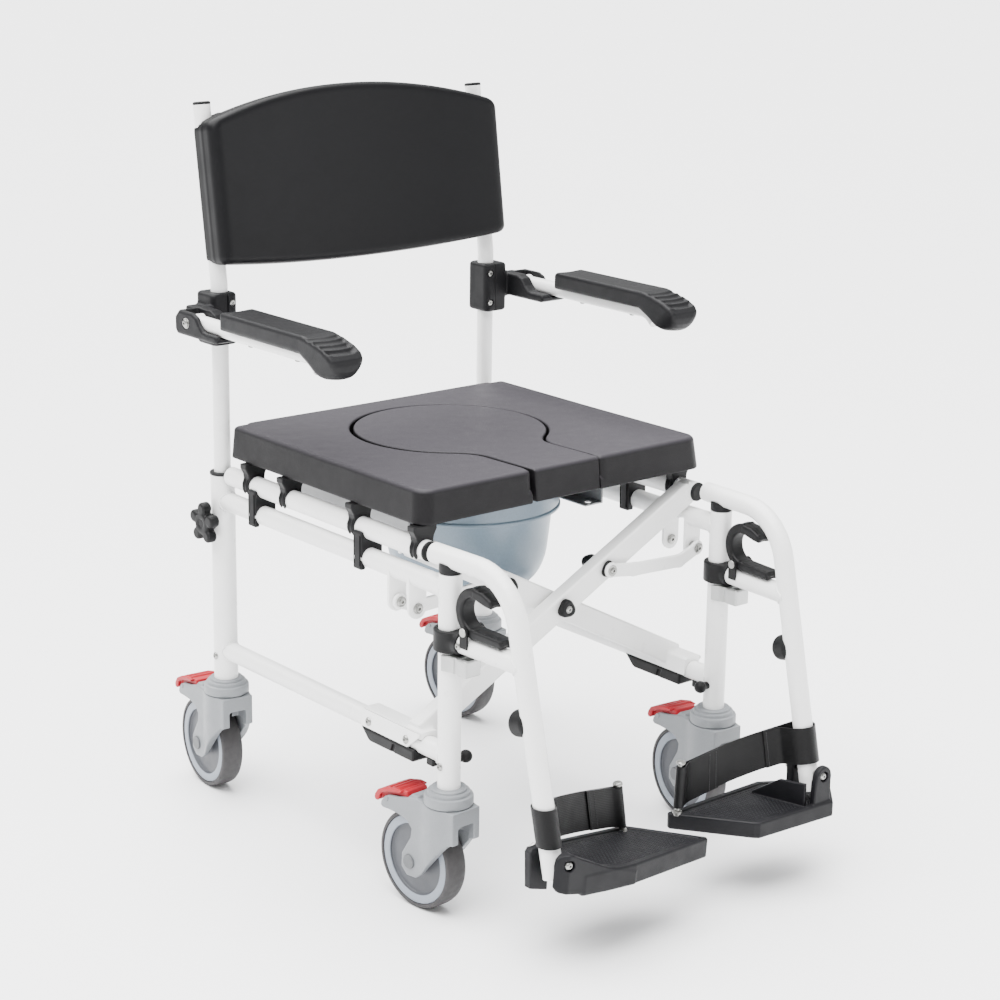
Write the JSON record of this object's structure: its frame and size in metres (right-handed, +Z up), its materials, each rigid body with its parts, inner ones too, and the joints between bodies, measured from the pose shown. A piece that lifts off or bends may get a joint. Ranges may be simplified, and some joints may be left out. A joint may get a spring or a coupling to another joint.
{
  "type": "shower commode chair",
  "caption": "Wheeled shower commode chair: white tube frame with cross braces, dark moulded seat with a keyhole lid and bucket, flip-up arms, plug-in back and swing-away footrests.",
  "frame": {"origin": "centre of the bounding box footprint, on the floor", "axes": "+Z up, -Y is the front where the sitter faces, +X is the sitter's left"},
  "size_m": [0.596, 0.8076, 0.9436],
  "materials": {
    "white_coat": "gloss",
    "black_plastic": "satin",
    "seat_skin": "matte",
    "back_skin": "satin",
    "pad_skin": "matte",
    "steel": "satin",
    "cast_alloy": "satin",
    "bucket_pp": "satin",
    "caster_grey": "satin",
    "wheel_grey": "satin",
    "tyre_dark": "matte",
    "pedal_red": "gloss",
    "webbing": "satin",
    "plate_black": "matte"
  },
  "bodies": {
    "frame": {"right_side_frame": "white_coat", "left_side_frame": "white_coat", "front_cross_brace": "white_coat", "rear_cross_brace": "white_coat", "right_seat_rail": "white_coat", "left_seat_rail": "white_coat", "frame_plugs": "black_plastic", "brace_bearing_blocks": "black_plastic", "brace_pivot_bolts": "black_plastic", "fold_links": "white_coat", "seat_rail_saddles": "black_plastic", "footrest_catches": "cast_alloy", "frame_fasteners": "steel", "caster_stems": "caster_grey"},
    "seat": {"seat_pan": "seat_skin", "seat_clips": "black_plastic", "bucket_rails": "steel"},
    "seat_lid": {"seat_lid": "seat_skin"},
    "bucket": {"commode_bucket": "bucket_pp"},
    "back": {"back_panel": "back_skin", "back_tubes": "white_coat", "back_tube_caps": "black_plastic", "right_arm_clamp": "black_plastic", "left_arm_clamp": "black_plastic", "arm_clamp_screws": "steel"},
    "right_arm": {"right_arm_tube": "white_coat", "right_arm_pad": "pad_skin"},
    "left_arm": {"left_arm_tube": "white_coat", "left_arm_pad": "pad_skin"},
    "right_knob": {"right_star_knob": "black_plastic"},
    "left_knob": {"left_star_knob": "black_plastic"},
    "right_footrest": {"right_hanger": "white_coat", "right_hanger_fittings": "black_plastic", "right_heel_strap": "webbing"},
    "right_lever": {"right_release_lever": "black_plastic"},
    "right_plate": {"right_footplate": "plate_black", "right_footplate_pins": "steel"},
    "left_footrest": {"left_hanger": "white_coat", "left_hanger_fittings": "black_plastic", "left_heel_strap": "webbing"},
    "left_lever": {"left_release_lever": "black_plastic"},
    "left_plate": {"left_footplate": "plate_black", "left_footplate_pins": "steel"},
    "fr_caster": {"front_right_fork": "caster_grey"},
    "fr_wheel": {"front_right_hub": "wheel_grey", "front_right_tyre": "tyre_dark"},
    "fr_pedal": {"front_right_pedal": "pedal_red"},
    "fl_caster": {"front_left_fork": "caster_grey"},
    "fl_wheel": {"front_left_hub": "wheel_grey", "front_left_tyre": "tyre_dark"},
    "fl_pedal": {"front_left_pedal": "pedal_red"},
    "rr_caster": {"rear_right_fork": "caster_grey"},
    "rr_wheel": {"rear_right_hub": "wheel_grey", "rear_right_tyre": "tyre_dark"},
    "rr_pedal": {"rear_right_pedal": "pedal_red"},
    "rl_caster": {"rear_left_fork": "caster_grey"},
    "rl_wheel": {"rear_left_hub": "wheel_grey", "rear_left_tyre": "tyre_dark"},
    "rl_pedal": {"rear_left_pedal": "pedal_red"}
  },
  "joints": [
    {"name": "seat_lift", "type": "slide", "parent": "frame", "child": "seat", "axis": [0, 0, 1], "range_m": [0, 0.1]},
    {"name": "lid_lift", "type": "slide", "parent": "seat", "child": "seat_lid", "axis": [0, 0, 1], "range_m": [0, 0.08]},
    {"name": "bucket_slide", "type": "slide", "parent": "seat", "child": "bucket", "axis": [0, 1, 0], "range_m": [0, 0.3]},
    {"name": "back_lift", "type": "slide", "parent": "frame", "child": "back", "axis": [0, 0, 1], "range_m": [0, 0.1]},
    {"name": "right_arm_flip", "type": "hinge", "parent": "back", "child": "right_arm", "pos_m": [-0.271, 0.26623, 0.661], "axis": [-1, 0, 0], "range_deg": [0, 90]},
    {"name": "left_arm_flip", "type": "hinge", "parent": "back", "child": "left_arm", "pos_m": [0.271, 0.26623, 0.654], "axis": [-1, 0, 0], "range_deg": [0, 90]},
    {"name": "right_knob_turn", "type": "hinge", "parent": "frame", "child": "right_knob", "pos_m": [-0.246, 0.29223, 0.387], "axis": [-1, 0, 0], "continuous": true},
    {"name": "left_knob_turn", "type": "hinge", "parent": "frame", "child": "left_knob", "pos_m": [0.246, 0.29223, 0.387], "axis": [1, 0, 0], "continuous": true},
    {"name": "right_footrest_swing", "type": "hinge", "parent": "frame", "child": "right_footrest", "pos_m": [-0.22, -0.18777, 0.4], "axis": [0, 0, -1], "range_deg": [0, 90]},
    {"name": "right_lever_pull", "type": "hinge", "parent": "right_footrest", "child": "right_lever", "pos_m": [-0.2183, -0.22673, 0.374], "axis": [-0.999, -0.0436, 0], "range_deg": [0, 8], "stiffness_Nm_per_rad": 0.6},
    {"name": "right_plate_flip", "type": "hinge", "parent": "right_footrest", "child": "right_plate", "pos_m": [-0.212, -0.36777, 0.138], "axis": [0, -1, 0], "range_deg": [0, 68], "deforming": ["right_heel_strap"]},
    {"name": "left_footrest_swing", "type": "hinge", "parent": "frame", "child": "left_footrest", "pos_m": [0.22, -0.18777, 0.4], "axis": [0, 0, 1], "range_deg": [0, 90]},
    {"name": "left_lever_pull", "type": "hinge", "parent": "left_footrest", "child": "left_lever", "pos_m": [0.2183, -0.22673, 0.374], "axis": [-0.999, 0.0436, 0], "range_deg": [0, 8], "stiffness_Nm_per_rad": 0.6},
    {"name": "left_plate_flip", "type": "hinge", "parent": "left_footrest", "child": "left_plate", "pos_m": [0.212, -0.36777, 0.138], "axis": [0, 1, 0], "range_deg": [0, 68], "deforming": ["left_heel_strap"]},
    {"name": "fr_swivel", "type": "hinge", "parent": "frame", "child": "fr_caster", "pos_m": [-0.22, -0.18777, 0.138], "axis": [0, 0, 1], "continuous": true},
    {"name": "fr_wheel_spin", "type": "hinge", "parent": "fr_caster", "child": "fr_wheel", "pos_m": [-0.22353, -0.14291, 0.0625], "axis": [0.9969, 0.0785, 0], "continuous": true},
    {"name": "fr_brake_press", "type": "hinge", "parent": "fr_caster", "child": "fr_pedal", "pos_m": [-0.22675, -0.10204, 0.132], "axis": [-0.9969, -0.0785, 0], "range_deg": [0, 10]},
    {"name": "fl_swivel", "type": "hinge", "parent": "frame", "child": "fl_caster", "pos_m": [0.22, -0.18777, 0.138], "axis": [0, 0, 1], "continuous": true},
    {"name": "fl_wheel_spin", "type": "hinge", "parent": "fl_caster", "child": "fl_wheel", "pos_m": [0.22392, -0.14294, 0.0625], "axis": [0.9962, -0.0872, 0], "continuous": true},
    {"name": "fl_brake_press", "type": "hinge", "parent": "fl_caster", "child": "fl_pedal", "pos_m": [0.2275, -0.1021, 0.132], "axis": [-0.9962, 0.0872, 0], "range_deg": [0, 10]},
    {"name": "rr_swivel", "type": "hinge", "parent": "frame", "child": "rr_caster", "pos_m": [-0.22, 0.29223, 0.138], "axis": [0, 0, 1], "continuous": true},
    {"name": "rr_wheel_spin", "type": "hinge", "parent": "rr_caster", "child": "rr_wheel", "pos_m": [-0.21608, 0.33706, 0.0625], "axis": [0.9962, -0.0872, 0], "continuous": true},
    {"name": "rr_brake_press", "type": "hinge", "parent": "rr_caster", "child": "rr_pedal", "pos_m": [-0.2125, 0.3779, 0.132], "axis": [-0.9962, 0.0872, 0], "range_deg": [0, 10]},
    {"name": "rl_swivel", "type": "hinge", "parent": "frame", "child": "rl_caster", "pos_m": [0.22, 0.29223, 0.138], "axis": [0, 0, 1], "continuous": true},
    {"name": "rl_wheel_spin", "type": "hinge", "parent": "rl_caster", "child": "rl_wheel", "pos_m": [0.21608, 0.33706, 0.0625], "axis": [0.9962, 0.0872, 0], "continuous": true},
    {"name": "rl_brake_press", "type": "hinge", "parent": "rl_caster", "child": "rl_pedal", "pos_m": [0.2125, 0.3779, 0.132], "axis": [-0.9962, -0.0872, 0], "range_deg": [0, 10]}
  ]
}
